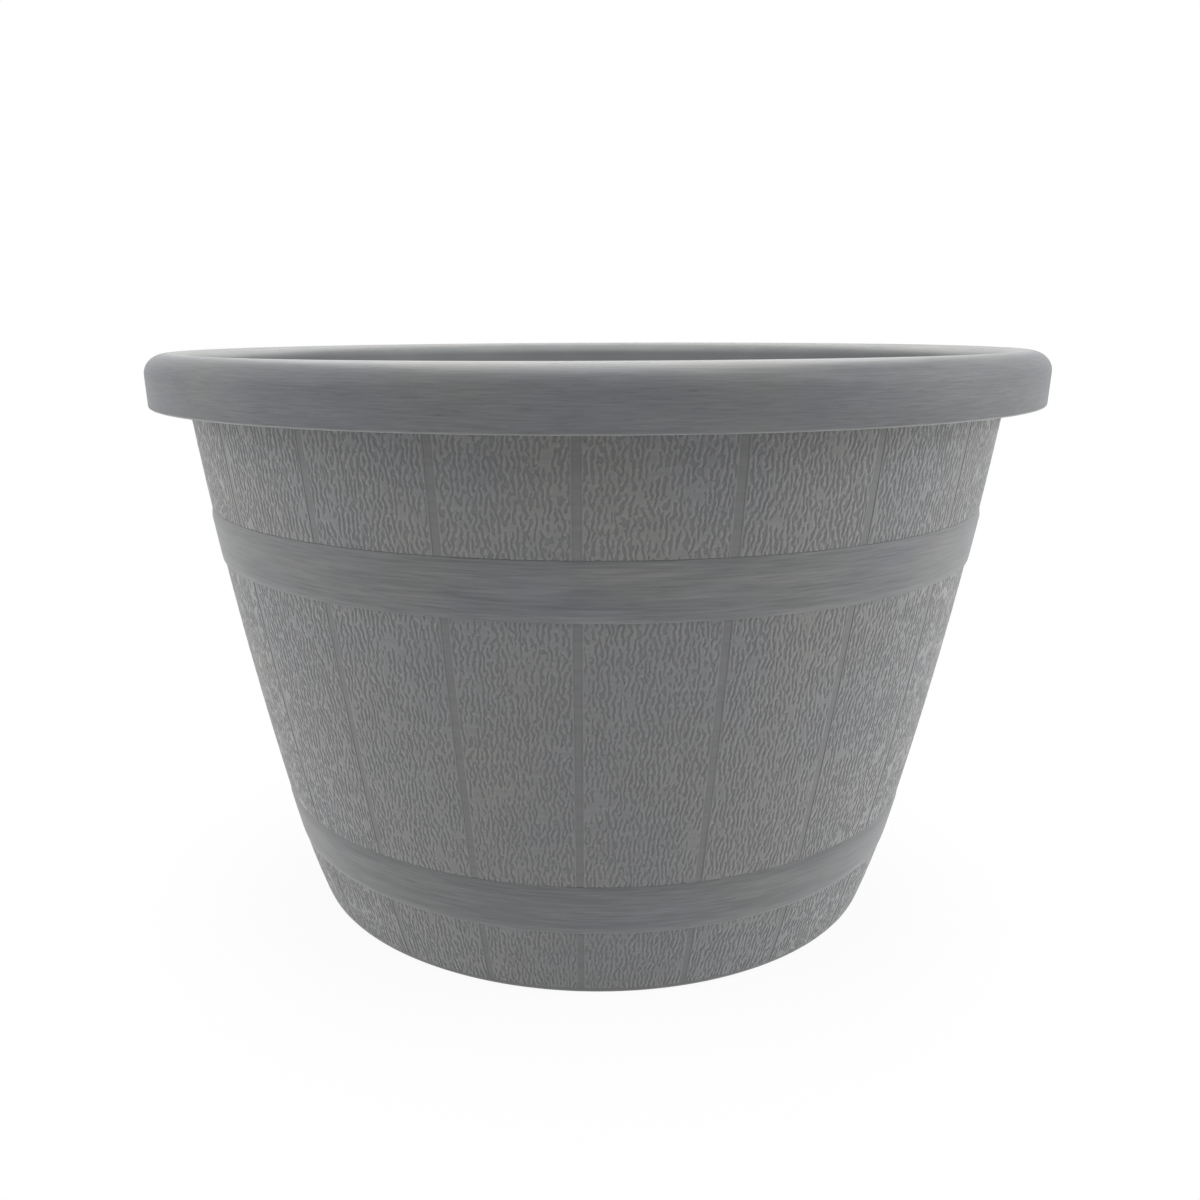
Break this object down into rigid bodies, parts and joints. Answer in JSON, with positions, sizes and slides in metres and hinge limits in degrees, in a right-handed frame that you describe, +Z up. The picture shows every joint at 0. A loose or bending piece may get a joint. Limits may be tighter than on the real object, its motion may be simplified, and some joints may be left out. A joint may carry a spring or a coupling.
{
  "type": "half-barrel planter",
  "caption": "Moulded half-barrel floor planter with stave and hoop relief, a rolled rim, a foot ring and push-in drain plugs.",
  "frame": {"origin": "on the floor, at the middle of the foot ring", "axes": "+Z up along the barrel's axis; -Y is the side towards the picture's camera; +X is to its right"},
  "size_m": [0.3566, 0.3566, 0.2265],
  "materials": {
    "shell_resin": "satin grey resin, embossed wood grain on the staves, brushed streaks on the hoops and rim",
    "plug_rubber": "matt dark grey soft moulding"
  },
  "bodies": {
    "shell": {"planter_shell": "shell_resin"},
    "plug_1": {"drain_plug_1": "plug_rubber"},
    "plug_2": {"drain_plug_2": "plug_rubber"},
    "plug_3": {"drain_plug_3": "plug_rubber"},
    "plug_4": {"drain_plug_4": "plug_rubber"}
  },
  "joints": [
    {"name": "plug_1_pull", "type": "slide", "parent": "shell", "child": "plug_1", "axis": [0, 0, 1], "range_m": [0, 0.008]},
    {"name": "plug_2_pull", "type": "slide", "parent": "shell", "child": "plug_2", "axis": [0, 0, 1], "range_m": [0, 0.008]},
    {"name": "plug_3_pull", "type": "slide", "parent": "shell", "child": "plug_3", "axis": [0, 0, 1], "range_m": [0, 0.008]},
    {"name": "plug_4_pull", "type": "slide", "parent": "shell", "child": "plug_4", "axis": [0, 0, 1], "range_m": [0, 0.008]}
  ]
}
